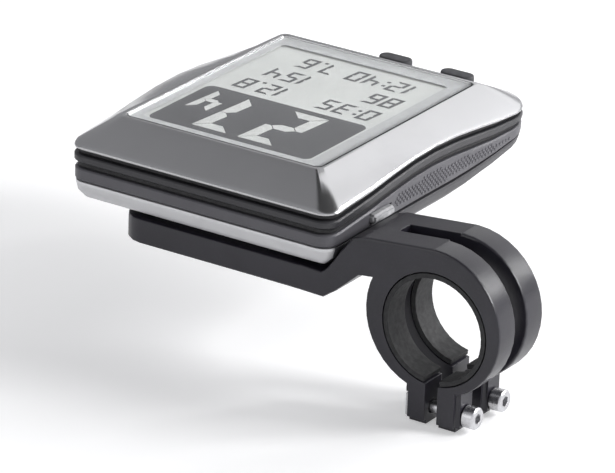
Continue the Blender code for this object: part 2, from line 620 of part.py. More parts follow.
def case_screw_places():
    x = CASE_WIDTH / 2 - CASE_SCREW_FROM_SIDE
    front, rear = CASE_FRONT_Y + CASE_SCREW_FROM_FRONT, CASE_REAR_Y - CASE_SCREW_FROM_REAR
    return {"front_left": (CASE_X - x, front), "front_right": (CASE_X + x, front),
            "rear_left": (CASE_X - x, rear), "rear_right": (CASE_X + x, rear)}


def end_key_places():
    x, y = CASE_X + END_KEY_OFFSET, CASE_REAR_Y - END_KEY_FROM_REAR
    return {"left": (x - END_KEY_SPACING / 2, y), "right": (x + END_KEY_SPACING / 2, y)}


def end_key_outline(x, y, grow):
    """A key's outline with half-round ends, grown for its hole or drawn in for its top."""
    half, radius = END_KEY_WIDTH / 2 + grow, END_KEY_LENGTH / 2 + grow
    ends = list(arc(x - half + radius, y, radius, 90, 270, 8))
    return ends + list(arc(x + half - radius, y, radius, -90, 90, 8))


def bezel_height(y):
    """Height of the bezel's rear slope."""
    return EDGE_Z + (CASE_REAR_Y - y) * BEZEL_RISE / BEZEL_REAR_INSET


def bezel_rings():
    """The top housing's section as rings: skirt, bezel, rim, window ledge and back down inside."""
    lower = BEZEL_EDGE * BEZEL_RISE / BEZEL_INSET
    rear_edge = BEZEL_EDGE * BEZEL_REAR_INSET / BEZEL_INSET
    ledge, rear_ledge = OPENING_INSET + WINDOW_LEDGE, OPENING_REAR_INSET + WINDOW_LEDGE
    skirt = [outline(0, SKIRT_BOTTOM), outline(0, EDGE_Z - BEZEL_EDGE)]
    slope = [outline(BEZEL_EDGE, EDGE_Z + lower, rear_edge), outline(BEZEL_INSET, RIM_Z, BEZEL_REAR_INSET)]
    rim = [outline(OPENING_INSET, z, OPENING_REAR_INSET) for z in (RIM_Z, LEDGE_Z)]
    shelf = [outline(ledge, z, rear_ledge) for z in (LEDGE_Z, LEDGE_BOTTOM)]
    back = [outline(OPENING_INSET, LEDGE_BOTTOM, OPENING_REAR_INSET),
            outline(WALL, EDGE_Z - BEZEL_EDGE), outline(WALL, SKIRT_BOTTOM)]
    return skirt + slope + rim + shelf + back


def make_top_housing():
    housing = finish("top_housing", shaped(loft(bezel_rings(), "joined")), GREY_SHELL, 25)
    pilot = CASE_SCREW_RADIUS + SCREW_CLEARANCE
    boss = [(POST_RADIUS, BOARD_TOP + GAP), (POST_RADIUS, EDGE_Z + BEZEL_RISE / 2)]
    hole = [(pilot, BOARD_TOP - MM), (pilot, EDGE_Z + 4 * GAP)]
    for name, (x, y) in case_screw_places().items():
        join(housing, shaped(turned(boss, (x, y, 0), (0, 0, 1), 12), False), f"boss {name}")
        cut(housing, shaped(turned(hole, (x, y, 0), (0, 0, 1), 12), False), f"pilot {name}")
    for name, (x, y) in end_key_places().items():
        opening = end_key_outline(x, y, KEY_CLEARANCE)
        cut(housing, extruded(opening, BOARD_TOP, RIM_Z + MM, "Z"), f"key {name}")


def make_window():
    inset, rear = OPENING_INSET + GAP, OPENING_REAR_INSET + GAP
    rings = [outline(inset, WINDOW_BOTTOM, rear), outline(inset, RIM_Z, rear)]
    finish("display_window", loft(rings), CLEAR)


def make_lcd():
    """The display lies level below the window's ledge."""
    half = CASE_WIDTH / 2 - OPENING_INSET - LCD_MARGIN
    front, rear = CASE_FRONT_Y + OPENING_INSET + LCD_MARGIN, CASE_REAR_Y - OPENING_REAR_INSET - LCD_MARGIN
    top = LEDGE_BOTTOM - GAP
    low, high = (CASE_X - half, front, top - LCD_THICKNESS), (CASE_X + half, rear, top)
    finish("lcd_panel", box(low, high, SMALL_EDGE), LCD_GLASS)


def make_stack():
    """The seals and shells between the bezel and the base, with the side key's opening."""
    shell_ring("upper_gasket", UPPER_GASKET_BOTTOM, GASKET_HEIGHT, GASKET_RECESS, SEAL)
    shell_ring("middle_frame", MIDDLE_BOTTOM, MIDDLE_HEIGHT, 0, GREY_SHELL, SHELL_EDGE)
    shell_ring("lower_gasket", LOWER_GASKET_BOTTOM, GASKET_HEIGHT, GASKET_RECESS, SEAL)
    rear = shell_ring("rear_housing", REAR_SHELL_BOTTOM, REAR_SHELL_HEIGHT, REAR_SHELL_RECESS, GREY_SHELL,
                      SHELL_EDGE)
    half_y, half_z = SIDE_KEY_LENGTH / 2 + KEY_CLEARANCE, SIDE_KEY_HEIGHT / 2 + KEY_CLEARANCE
    cut(rear, box((CASE_SIDE - WALL - MM, SIDE_KEY_Y - half_y, SIDE_KEY_Z - half_z),
                  (CASE_SIDE + MM, SIDE_KEY_Y + half_y, SIDE_KEY_Z + half_z)), "side key")


def foot_section():
    """The foot's neck and flanges, which slide under the dock's lips."""
    flange, neck, root = FOOT_FLANGE_WIDTH / 2, FOOT_NECK_WIDTH / 2, CASE_FLOOR_Z + FOOT_OVERLAP
    right = [(flange, FLANGE_BOTTOM), (flange, FLANGE_TOP), (neck, FLANGE_TOP), (neck, root)]
    return [(CASE_X + x, z) for x, z in right] + [(CASE_X - x, z) for x, z in reversed(right)]


def make_base():
    swell = outline((BASE_TAPER + BASE_RECESS) / 2 - BASE_EDGE, CASE_FLOOR_Z + (BASE_HEIGHT - BASE_EDGE) / 2)
    rings = [outline(BASE_TAPER, CASE_FLOOR_Z), swell, outline(BASE_RECESS, BASE_TOP - BASE_EDGE),
             outline(BASE_RECESS, BASE_TOP), outline(WALL + BASE_EDGE, BASE_TOP),
             outline(BASE_TAPER + BASE_EDGE, CASE_FLOOR_Z + BASE_FLOOR)]
    base = finish("base_cover", shaped(loft(rings, "strips")), SILVER_SHELL, 25)
    foot_start = DOCK_Y + DOCK_STOP + GAP
    join(base, extruded(foot_section(), foot_start, foot_start + FOOT_LENGTH), "foot")
    detent = BUMP_LENGTH / 2 + BASE_EDGE
    cut(base, box((CASE_X - TONGUE_WIDTH / 2, BUMP_Y - detent, FLANGE_BOTTOM - MM),
                  (CASE_X + TONGUE_WIDTH / 2, BUMP_Y + detent, FLANGE_BOTTOM + DETENT_DEPTH)), "detent")
    hole, head, seat = CASE_SCREW_RADIUS + SCREW_CLEARANCE, CASE_SCREW_HEAD + GAP, CASE_FLOOR_Z + WELL_DEPTH
    well = [(head, CASE_FLOOR_Z - MM), (head, seat), (hole, seat), (hole, BOARD_TOP)]
    for name, (x, y) in case_screw_places().items():
        post = [(POST_RADIUS, CASE_FLOOR_Z + 0.75 * BASE_FLOOR), (POST_RADIUS, BOARD_BOTTOM - GAP)]
        join(base, turned(post, (x, y, 0), (0, 0, 1), 12), f"post {name}")
        cut(base, shaped(turned(well, (x, y, 0), (0, 0, 1), 12), False), f"well {name}")
    half_x, half_y = PORT_COVER_WIDTH / 2 + GAP, PORT_COVER_LENGTH / 2 + GAP
    recess_top = COVER_Z + PORT_COVER_THICKNESS + GAP
    cut(base, box((CASE_X - half_x, PORT_Y - half_y, CASE_FLOOR_Z - MM),
                  (CASE_X + half_x, PORT_Y + half_y, recess_top)), "cover recess")
    cut(base, box((CASE_X - PORT_WIDTH / 2, PORT_Y - PORT_LENGTH / 2, CASE_FLOOR_Z - MM),
                  (CASE_X + PORT_WIDTH / 2, PORT_Y + PORT_LENGTH / 2, CASE_FLOOR_Z + 2 * BASE_FLOOR)), "port")


def make_case_screw(name, x, y):
    bottom, shank = CASE_FLOOR_Z + THREAD_CLEARANCE, CASE_SCREW_RADIUS
    under_head = bottom + CASE_SCREW_HEAD_HEIGHT
    profile = [(CASE_SCREW_HEAD, bottom), (CASE_SCREW_HEAD, under_head), (shank, under_head),
               (shank, EDGE_Z + 2 * GAP)]
    finish(f"case_screw_{name}", shaped(turned(profile, (x, y, 0), (0, 0, 1), 12), False), STEEL)


def make_board():
    """The circuit board fills the case and runs on under the two keys at the rear end."""
    inset = WALL + BOARD_MARGIN
    x, front, rear = CASE_WIDTH / 2 - inset, CASE_FRONT_Y + inset, CASE_REAR_Y - REAR_CORNER
    tail = END_KEY_OFFSET + END_KEY_SPACING / 2 + BOARD_BESIDE_KEYS
    end = CASE_REAR_Y - END_KEY_FROM_REAR + BOARD_BEHIND_KEYS
    right = [(x - BOARD_CORNER, front), (x, front + BOARD_CORNER), (x, rear), (tail, end)]
    plan = [(CASE_X + px, y) for px, y in right] + [(CASE_X - px, y) for px, y in reversed(right)]
    board = finish("circuit_board", extruded(plan, BOARD_BOTTOM, BOARD_TOP, "Z"), BOARD_GREEN)
    hole = CASE_SCREW_RADIUS + SCREW_CLEARANCE
    through = [(hole, BOARD_BOTTOM - MM), (hole, BOARD_TOP + MM)]
    for name, (px, y) in case_screw_places().items():
        cut(board, turned(through, (px, y, 0), (0, 0, 1), 12), f"hole {name}")


def make_battery():
    front, half = CASE_FRONT_Y + BATTERY_FROM_FRONT, BATTERY_WIDTH / 2
    low = (CASE_X - half, front, BATTERY_BOTTOM)
    high = (CASE_X + half, front + BATTERY_LENGTH, BATTERY_BOTTOM + BATTERY_HEIGHT)
    finish("battery", soft_slab(low, high, 2 * KEY_EDGE, KEY_EDGE), FOIL)


def make_port():
    """The socket between the base cover and the board, and the cover that swings down from it."""
    half_x, half_y = PORT_WIDTH / 2, PORT_LENGTH / 2
    low, high = CASE_FLOOR_Z + BASE_FLOOR + 2 * GAP, BOARD_BOTTOM - GAP
    socket = box((CASE_X - half_x, PORT_Y - half_y, low), (CASE_X + half_x, PORT_Y + half_y, high))
    socket = finish("port_socket", socket, STEEL)
    inner_x, inner_y = half_x - PORT_WALL, half_y - PORT_WALL
    cut(socket, box((CASE_X - inner_x, PORT_Y - inner_y, low - MM),
                    (CASE_X + inner_x, PORT_Y + inner_y, high - MM)), "mouth")
    half_x, half_y = PORT_COVER_WIDTH / 2, PORT_COVER_LENGTH / 2
    low, high = COVER_Z, COVER_Z + PORT_COVER_THICKNESS
    cover = soft_slab((CASE_X - half_x, PORT_Y - half_y, low), (CASE_X + half_x, PORT_Y + half_y, high),
                      2 * SMALL_EDGE, SMALL_EDGE)
    cover = finish("port_cover", cover, KEY_RUBBER)
    set_origin(cover, (CASE_X, PORT_Y + half_y, COVER_Z))


def make_end_key(name, x, y):
    """A round-ended key in the bezel's rear slope, above its switch."""
    switch_top = BOARD_TOP + GAP + SWITCH_HEIGHT
    top, low = bezel_height(y) + END_KEY_RISE, switch_top + KEY_TRAVEL + GAP
    heights = [(0, low)] + edge_steps(low, top, KEY_EDGE)[-3:]
    rings = [[Vector((*p, z)) for p in end_key_outline(x, y, -inset)] for inset, z in heights]
    key = finish(f"end_key_{name}", loft(rings), KEY_RUBBER)
    set_origin(key, (x, y, top))
    half_x, half_y = SWITCH_WIDTH / 2, SWITCH_DEPTH / 2
    switch = box((x - half_x, y - half_y, BOARD_TOP + GAP), (x + half_x, y + half_y, switch_top), SMALL_EDGE)
    finish(f"end_switch_{name}", switch, STEEL)


def make_side_key():
    """A bar-shaped key in the rear housing's side, with its switch inside."""
    half_y, half_z = SIDE_KEY_LENGTH / 2, SIDE_KEY_HEIGHT / 2
    inner, outer = CASE_SIDE - SIDE_KEY_REACH, CASE_SIDE + SIDE_KEY_RISE
    low = (inner, SIDE_KEY_Y - half_y, SIDE_KEY_Z - half_z)
    high = (outer, SIDE_KEY_Y + half_y, SIDE_KEY_Z + half_z)
    key = finish("side_key", box(low, high, KEY_EDGE, 2), KEY_RUBBER)
    set_origin(key, (outer, SIDE_KEY_Y, SIDE_KEY_Z))
    face = inner - GAP - KEY_TRAVEL
    switch = box((face - SWITCH_HEIGHT - MM, SIDE_KEY_Y - SWITCH_WIDTH / 2, SIDE_KEY_Z - SWITCH_DEPTH / 2),
                 (face, SIDE_KEY_Y + SWITCH_WIDTH / 2, SIDE_KEY_Z + SWITCH_DEPTH / 2), SMALL_EDGE)
    finish("side_switch", switch, STEEL)


make_bracket()
for end, place in band_centres().items():
    make_band_pad(end, place)
    make_pinch_bolt(end, place)
make_dock()
for corner, (screw_x, screw_y) in dock_screw_places().items():
    make_dock_screw(corner, screw_x, screw_y)
make_top_housing()
make_window()
make_lcd()
make_stack()
make_base()
for corner, (screw_x, screw_y) in case_screw_places().items():
    make_case_screw(corner, screw_x, screw_y)
make_board()
make_battery()
make_port()
for end, (key_x, key_y) in end_key_places().items():
    make_end_key(end, key_x, key_y)
make_side_key()
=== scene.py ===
"""Looks of the handlebar computer mount: camera, lights, floor, materials and fine pieces on the frame."""
import json
import math

import bmesh
import bpy
from mathutils import Matrix, Vector
from mathutils.bvhtree import BVHTree


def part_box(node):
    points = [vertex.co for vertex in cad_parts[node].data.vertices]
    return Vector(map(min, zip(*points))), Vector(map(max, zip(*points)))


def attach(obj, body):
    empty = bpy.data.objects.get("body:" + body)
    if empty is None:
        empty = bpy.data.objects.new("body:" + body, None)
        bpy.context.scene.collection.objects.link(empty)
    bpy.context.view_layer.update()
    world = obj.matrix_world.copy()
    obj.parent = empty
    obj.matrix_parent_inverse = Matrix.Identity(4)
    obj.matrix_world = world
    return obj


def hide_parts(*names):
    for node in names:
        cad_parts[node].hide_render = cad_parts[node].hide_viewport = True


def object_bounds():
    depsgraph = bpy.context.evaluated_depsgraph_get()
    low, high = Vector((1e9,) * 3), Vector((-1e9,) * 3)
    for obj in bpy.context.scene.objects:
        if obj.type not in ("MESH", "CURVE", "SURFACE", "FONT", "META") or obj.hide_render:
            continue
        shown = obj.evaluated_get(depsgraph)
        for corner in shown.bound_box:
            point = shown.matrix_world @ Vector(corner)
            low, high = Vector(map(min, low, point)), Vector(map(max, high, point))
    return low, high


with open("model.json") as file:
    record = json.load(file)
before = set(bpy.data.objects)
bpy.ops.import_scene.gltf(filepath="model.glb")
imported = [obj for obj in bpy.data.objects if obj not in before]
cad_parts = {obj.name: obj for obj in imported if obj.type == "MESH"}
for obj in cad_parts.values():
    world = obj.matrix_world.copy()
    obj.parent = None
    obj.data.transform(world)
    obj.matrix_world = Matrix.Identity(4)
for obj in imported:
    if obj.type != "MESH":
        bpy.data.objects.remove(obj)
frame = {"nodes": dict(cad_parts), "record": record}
CAD_BOX = [list(corner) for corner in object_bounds()]
NODES = frame["nodes"]
MM = 0.001

# Camera, as it was fitted to the photograph, and the longer lens that frames the object alone
PHOTO_WIDTH = 615
PHOTO_FOCAL = 1200          # in pixels
PHOTO_AZIMUTH, PHOTO_ELEVATION, PHOTO_ROLL = 34.45, 25.55, 1.08         # in degrees
PHOTO_DISTANCE = 1.00429
PHOTO_POINT = Vector((-0.0565, 0.0305, 0.021))      # the point that the distance is measured to
PHOTO_POINT_OFFSET = Vector((0.03133, 0.07545))     # its place right of and above the image's middle
AIM = Vector((-0.0510, 0.0227, -0.0029))            # the point in the middle of the render
ZOOM = 3.95                 # of the render's lens against the photograph's
SENSOR_WIDTH = 36

# Lamps: place from the object's middle, width and height, and power
LAMPS = {
    "far softbox": ((0.0673, 0.8895, 0.5781), (1.26, 0.8), 3.3),
    "strip": ((0.56, 0.82, 0.52), (0.05, 0.5), 2.6),
    "right softbox": ((0.75, 0.35, 0.45), (0.3, 0.3), 7.0),
    "fill": ((-0.5, -0.8, 0.3), (0.7, 0.4), 1.0),
}

# Room: it is dark in one direction overhead, and dimmer on the left than on the right
ROOM_COLOUR = (0.96, 0.965, 1.0, 1)
DARK_CENTRE = Vector((0.22, 0.06, 0.97)).normalized()
DARK_COSINES, DARK_STRENGTHS = (0.66, 0.85), (0.82, 0.0)        # from the dark part's edge to its full dark
SIDE_DIRECTIONS, SIDE_SHARES = (-0.6, 0.4), (0.5, 1.1)          # from left to right

# Floor
FLOOR_COLOUR, FLOOR_ROUGHNESS = (0.9, 0.9, 0.905), 0.9
FLOOR_GLOW = 0.32           # where the camera sees it, also in a reflection and through the window
FLOOR_HALF_WIDTH = 3.0
FLOOR_GAP = 0.1 * MM        # below the object

# Display, in the order in which its layers lie below the window
MASK_MARGIN = 0.15 * MM     # inside the window's outline
MASK_THICKNESS = 0.05 * MM
SCREEN_LEFT, SCREEN_RIGHT = -78.8 * MM, -36.6 * MM      # the opening in the mask
SCREEN_FRONT, SCREEN_REAR = 0.2 * MM, 54 * MM
SCREEN_CORNER = 1.2 * MM
GLASS_TO_WINDOW = 0.4 * MM
GLASS_LEFT, GLASS_RIGHT = -79.7 * MM, -34.3 * MM
GLASS_FRONT, GLASS_REAR = -0.7 * MM, 56.7 * MM
GLASS_CORNER = 0.3 * MM
BAND_LEFT, BAND_RIGHT = -78.2 * MM, -37.7 * MM
BAND_FRONT, BAND_REAR = 0.8 * MM, 24.6 * MM
BAND_CORNER = 2 * MM
PRINT_THICKNESS = 0.03 * MM
PRINT_GAP = 0.01 * MM

# Figures: width, height, stroke and pitch of each size, and where the texts start for their reader
SPEED_SIZE = (9 * MM, 19.6 * MM, 3 * MM, 11.5 * MM)
TENTHS_SIZE = (5.4 * MM, 11.5 * MM, 1.8 * MM, 6 * MM)
ROW_SIZE = (3.3 * MM, 6 * MM, 0.85 * MM, 4.2 * MM)
SPEED_START, SPEED_BASE = BAND_RIGHT - 8.5 * MM, BAND_REAR - 2 * MM
ROW_STARTS = (SCREEN_RIGHT - 3 * MM, SCREEN_RIGHT - 24 * MM)
# The rows of figures, by their base line
ROWS = {33 * MM: ("0:35", "12.8"), 42 * MM: ("86", "154"), 51 * MM: ("12:40", "7.6")}
SLANT = 0.08                # of the upright bars
BAR_GAP = 0.07              # between the bars of a figure, as a share of the stroke
DOT_CORNER = 0.2            # of the points and colons, as a share of the stroke

# Shells
SMOOTH_ANGLE = math.radians(30)
FLAT_ANGLE = math.radians(0.3)      # faces that meet at less are one flat face
MERGE_DISTANCE = 0.0001 * MM
EDGE_RADIUS = 0.2 * MM              # of the sharp edges, in the shading
PAINTED_LIP_Y = -8.2 * MM           # the base is silver in front of this
LIP_BLEND = 0.15 * MM

# Studs of the side grips
GRIP_FRONT, GRIP_REAR = 13 * MM, 61 * MM
GRIP_PITCH = 1.3 * MM               # along a row; the rows lie half as far apart
GRIP_MARGIN = 0.6 * MM              # to the edges of the side wall
GRIP_REACH = 3 * MM                 # how far inwards the wall is looked for
WALL_FACING = 0.9                   # least share of the wall's normal that points outwards
STUD_FOOT, STUD_TOP = 0.5 * MM, 0.26 * MM       # half diagonals
STUD_HEIGHT, STUD_SUNK = 0.2 * MM, 0.05 * MM


# Shader helpers

NOISE_SPAN = (0.3, 0.7)             # where most values of a noise lie
NOISE_ROUGHNESS = 0.55
EDGE_SAMPLES = 6


class Nodes:
    """Adds shader nodes by type, with their inputs set or linked."""

    def __init__(self, tree):
        self.tree = tree

    def set(self, node, inputs):
        for name, value in inputs.items():
            if isinstance(value, bpy.types.NodeSocket):
                self.tree.links.new(value, node.inputs[name])
            else:
                node.inputs[name].default_value = value
        return node

    def node(self, kind, inputs=None, **settings):
        node = self.tree.nodes.new(kind)
        for name, value in settings.items():
            setattr(node, name, value)
        return self.set(node, inputs or {})

    def maths(self, operation, first, second):
        return self.node("ShaderNodeMath", {0: first, 1: second}, operation=operation).outputs["Value"]

    def ranged(self, value, source, target):
        """A value carried over from one range to another, and held inside it."""
        inputs = {"Value": value, "From Min": source[0], "From Max": source[1],
                  "To Min": target[0], "To Max": target[1]}
        return self.node("ShaderNodeMapRange", inputs).outputs["Result"]


class Look(Nodes):
    """A material under construction."""

    def __init__(self, name, colour, roughness, metallic=0.0):
        self.made = bpy.data.materials.new(name)
        self.made.use_nodes = True
        super().__init__(self.made.node_tree)
        self.shader = self.tree.nodes["Principled BSDF"]
        self.set(self.shader, {"Base Color": (*colour, 1), "Roughness": roughness, "Metallic": metallic})
        self.made.diffuse_color = (*colour, 1)
        self.place = self.node("ShaderNodeTexCoord").outputs["Object"]

    def finished(self, inputs):
        self.set(self.shader, inputs)
        return self.made

    def noise(self, size, detail=3, place=None):
        """A noise between 0 and 1 whose blobs are about the given size."""
        inputs = {"Vector": place or self.place, "Scale": 1 / size, "Detail": detail,
                  "Roughness": NOISE_ROUGHNESS}
        return self.node("ShaderNodeTexNoise", inputs).outputs["Fac"]

    def clouds(self, size, detail=3, target=(0, 1)):
        """A noise spread over the whole of a range."""
        return self.ranged(self.noise(size, detail), NOISE_SPAN, target)

    def mixed(self, share, first, second):
        """A colour between two, by a share from 0 to 1."""
        mix = self.node("ShaderNodeMix", data_type="RGBA")
        self.tree.links.new(share, mix.inputs["Factor"])
        for socket, value in ((mix.inputs[6], first), (mix.inputs[7], second)):
            if isinstance(value, bpy.types.NodeSocket):
                self.tree.links.new(value, socket)
            else:
                socket.default_value = (*value, 1)
        return mix.outputs[2]

    def bump(self, height, strength, distance, normal=None):
        """Relief over edges that are rounded in the shading, or over another relief."""
        if normal is None:
            edges = self.node("ShaderNodeBevel", {"Radius": EDGE_RADIUS}, samples=EDGE_SAMPLES)
            normal = edges.outputs["Normal"]
        inputs = {"Height": height, "Strength": strength, "Distance": distance, "Normal": normal}
        return self.node("ShaderNodeBump", inputs).outputs["Normal"]


# Materials

def charcoal_plastic():
    """Dark moulded nylon with a slight violet tint, a fine spark-eroded grain and paler rubbed patches."""
    look = Look("charcoal_plastic", (0.02, 0.018, 0.026), 0.32)
    rubbed = look.ranged(look.noise(9 * MM, 4), (0.35, 0.7), (0, 1))
    specks = look.ranged(look.noise(0.35 * MM, 2), (0.55, 0.8), (0, 0.35))
    colour = look.mixed(rubbed, (0.013, 0.012, 0.0175), (0.019, 0.0175, 0.025))
    return look.finished({"Base Color": look.mixed(specks, colour, (0.036, 0.034, 0.044)),
                          "Roughness": look.clouds(3 * MM, 5, (0.28, 0.35)),
                          "Specular IOR Level": 0.45,
                          "Normal": look.bump(look.noise(0.22 * MM), strength=0.35, distance=0.03 * MM)})


def shell_paint(name, colour, darker, roughness, metallic):
    """Satin metallic paint over a moulded shell: fine flakes, faint clouds and a slight orange peel."""
    look = Look(name, colour, roughness, metallic)
    flakes = look.ranged(look.noise(0.12 * MM, 1), (0.5, 0.75), (0, 0.22))
    flake_colour = tuple(min(1, 1.25 * c) for c in colour)
    clouded = look.mixed(look.clouds(14 * MM), darker, colour)
    peel = look.bump(look.noise(0.8 * MM, 2), strength=0.05, distance=0.02 * MM)
    fine = look.bump(look.noise(0.15 * MM, 2), strength=0.1, distance=0.01 * MM, normal=peel)
    return look.finished({"Base Color": look.mixed(flakes, clouded, flake_colour),
                          "Roughness": look.clouds(2.2 * MM, 4, (roughness - 0.015, roughness + 0.025)),
                          "Normal": fine})


def base_shell():
    """The base: dark, with a front lip that is painted silver."""
    look = Look("base_shell", (0.68, 0.68, 0.69), 0.34, 0.3)
    along = look.node("ShaderNodeSeparateXYZ", {"Vector": look.place}).outputs["Y"]
    behind = look.ranged(along, (PAINTED_LIP_Y, PAINTED_LIP_Y + LIP_BLEND), (0, 1))
    cloud = look.clouds(10 * MM)
    silver = look.mixed(cloud, (0.6, 0.6, 0.61), (0.68, 0.68, 0.69))
    dark = look.mixed(cloud, (0.036, 0.035, 0.04), (0.055, 0.054, 0.06))
    return look.finished({"Base Color": look.mixed(behind, silver, dark),
                          "Roughness": look.ranged(behind, (0, 1), (0.33, 0.45)),
                          "Metallic": look.ranged(behind, (0, 1), (0.4, 0)),
                          "Normal": look.bump(look.noise(0.5 * MM, 2), strength=0.15, distance=0.02 * MM)})


def rubber(name, colour, grain):
    """Matt elastomer with a fine grain and faint dust."""
    look = Look(name, colour, 0.7)
    dust = look.ranged(look.noise(1.5 * MM, 5), (0.45, 0.8), (0, 0.6))
    dusty = tuple(c * 1.8 + 0.01 for c in colour)
    return look.finished({"Base Color": look.mixed(dust, colour, dusty),
                          "Roughness": look.clouds(1 * MM, 3, (0.62, 0.8)),
                          "Normal": look.bump(look.noise(grain), strength=0.4, distance=0.03 * MM)})


def steel():
    """Turned stainless steel: fine rings of tool marks and a little tarnish."""
    look = Look("steel", (0.58, 0.58, 0.6), 0.28, 1.0)
    rings = look.node("ShaderNodeMapping", {"Vector": look.place, "Scale": (1, 12, 12)}).outputs["Vector"]
    marks = look.noise(0.5 * MM, 4, rings)
    tarnish = look.ranged(look.noise(2.5 * MM), (0.4, 0.75), (0, 0.5))
    return look.finished({"Base Color": look.mixed(tarnish, (0.6, 0.6, 0.62), (0.36, 0.35, 0.34)),
                          "Roughness": look.ranged(marks, NOISE_SPAN, (0.2, 0.42)),
                          "Normal": look.bump(marks, strength=0.2, distance=0.01 * MM)})


def clear_window():
    """Clear acrylic that lets the lamps through to the display below it."""
    look = Look("clear_window", (0.96, 0.97, 0.97), 0.05)
    look.set(look.shader, {"Transmission Weight": 1.0, "IOR": 1.49})
    path = look.node("ShaderNodeLightPath").outputs["Is Shadow Ray"]
    through = look.node("ShaderNodeBsdfTransparent", {"Color": (0.94, 0.95, 0.95, 1)})
    mix = look.node("ShaderNodeMixShader", {"Fac": path, 1: look.shader.outputs["BSDF"],
                                            2: through.outputs["BSDF"]})
    look.set(look.tree.nodes["Material Output"], {"Surface": mix.outputs["Shader"]})
    return look.made


def lcd_glass():
    """The reflective layer of a liquid crystal display: pale grey with faint clouds and fine paler specks."""
    look = Look("lcd_glass", (0.56, 0.57, 0.53), 0.35)
    sparkle = look.ranged(look.noise(0.1 * MM, 1), (0.5, 0.8), (0, 0.3))
    colour = look.mixed(look.clouds(16 * MM, 2), (0.66, 0.665, 0.645), (0.75, 0.755, 0.73))
    return look.finished({"Base Color": look.mixed(sparkle, colour, (0.82, 0.825, 0.8))})


def printed(name, colour, roughness):
    """Ink or switched liquid crystal, with a faint unevenness."""
    look = Look(name, colour, roughness)
    darker = tuple(c * 0.86 for c in colour)
    return look.finished({"Base Color": look.mixed(look.clouds(1.2 * MM), darker, colour)})


def circuit_board():
    """Green board with paler traces."""
    look = Look("circuit_board", (0.02, 0.16, 0.07), 0.45)
    traces = look.node("ShaderNodeTexBrick", {"Vector": look.place, "Scale": 400.0}).outputs["Fac"]
    return look.finished({"Base Color": look.mixed(traces, (0.016, 0.13, 0.06), (0.05, 0.26, 0.12))})


def battery_foil():
    """Wrinkled foil."""
    look = Look("battery_foil", (0.6, 0.6, 0.62), 0.35, 0.8)
    return look.finished({"Normal": look.bump(look.noise(3 * MM, 4), strength=0.5, distance=0.1 * MM)})


SLOT_LOOKS = {
    "charcoal_plastic": charcoal_plastic(),
    "seal_rubber": rubber("seal_rubber", (0.012, 0.012, 0.013), 0.3 * MM),
    "key_rubber": rubber("key_rubber", (0.055, 0.055, 0.06), 0.18 * MM),
    "steel": steel(),
    "grey_shell": shell_paint("grey_shell", (0.47, 0.47, 0.477), (0.45, 0.45, 0.457), 0.19, 0.88),
    "silver_shell": base_shell(),
    "clear_window": clear_window(),
    "lcd_glass": lcd_glass(),
    "circuit_board": circuit_board(),
    "battery_foil": battery_foil(),
}
NODE_LOOKS = {
    "middle_frame": shell_paint("dark_shell", (0.036, 0.036, 0.04), (0.028, 0.027, 0.031), 0.42, 0.1),
    "rear_housing": shell_paint("side_shell", (0.1, 0.098, 0.108), (0.078, 0.076, 0.086), 0.42, 0.1),
    "side_key": rubber("pale_key", (0.34, 0.34, 0.35), 0.18 * MM),
}
GRIP_SHELL = shell_paint("grip_shell", (0.125, 0.122, 0.135), (0.1, 0.098, 0.11), 0.38, 0.1)
MASK_PRINT = printed("mask_print", (0.6, 0.6, 0.605), 0.4)
LCD_DARK = printed("lcd_dark", (0.02, 0.02, 0.023), 0.4)
LCD_LIGHT = printed("lcd_light", (0.78, 0.785, 0.76), 0.35)


# Meshes

def new_object(name, bm, look):
    """An object in the scene from a bmesh, which is used up."""
    mesh = bpy.data.meshes.new(name)
    bm.to_mesh(mesh)
    bm.free()
    mesh.materials.append(look)
    obj = bpy.data.objects.new(name, mesh)
    bpy.context.scene.collection.objects.link(obj)
    return obj


def piece(name, bm, look, body):
    """Turns a bmesh into a piece that rides on a body."""
    bmesh.ops.recalc_face_normals(bm, faces=bm.faces)
    obj = new_object(name, bm, look)
    obj.data.shade_smooth()
    obj.data.set_sharp_from_angle(angle=SMOOTH_ANGLE)
    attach(obj, body)
    return obj


def arc(cx, cy, radius, start, end, steps):
    """Points along an arc between two angles in degrees."""
    for i in range(steps + 1):
        a = math.radians(start + (end - start) * i / steps)
        yield Vector((cx + radius * math.cos(a), cy + radius * math.sin(a)))


def rounded(x0, y0, x1, y1, radius, steps=8):
    """A rectangle with rounded corners."""
    points = list(arc(x0 + radius, y0 + radius, radius, 180, 270, steps))
    points += arc(x1 - radius, y0 + radius, radius, 270, 360, steps)
    points += arc(x1 - radius, y1 - radius, radius, 0, 90, steps)
    points += arc(x0 + radius, y1 - radius, radius, 90, 180, steps)
    return points


def add_loop(bm, points, z):
    """Vertices over an outline, at a height."""
    return [bm.verts.new((p.x, p.y, z)) for p in points]


def add_walls(bm, first, second):
    """Joins two loops of as many vertices by a strip of faces."""
    for i in range(len(first)):
        j = (i + 1) % len(first)
        bm.faces.new((first[i], first[j], second[j], second[i]))


def add_solid(bm, first, second):
    """Closes the space between two loops."""
    bm.faces.new(first)
    bm.faces.new(second)
    add_walls(bm, first, second)


def add_plate(bm, points, low, high):
    """A flat plate with the outline given in plan."""
    add_solid(bm, add_loop(bm, points, low), add_loop(bm, points, high))


def add_ring_plate(bm, outer, inner, low, high):
    """A flat plate with a hole; both outlines have as many points."""
    loops = [add_loop(bm, points, z)
             for points, z in ((outer, low), (outer, high), (inner, high), (inner, low))]
    for first, second in zip(loops, loops[1:] + loops[:1]):
        add_walls(bm, first, second)


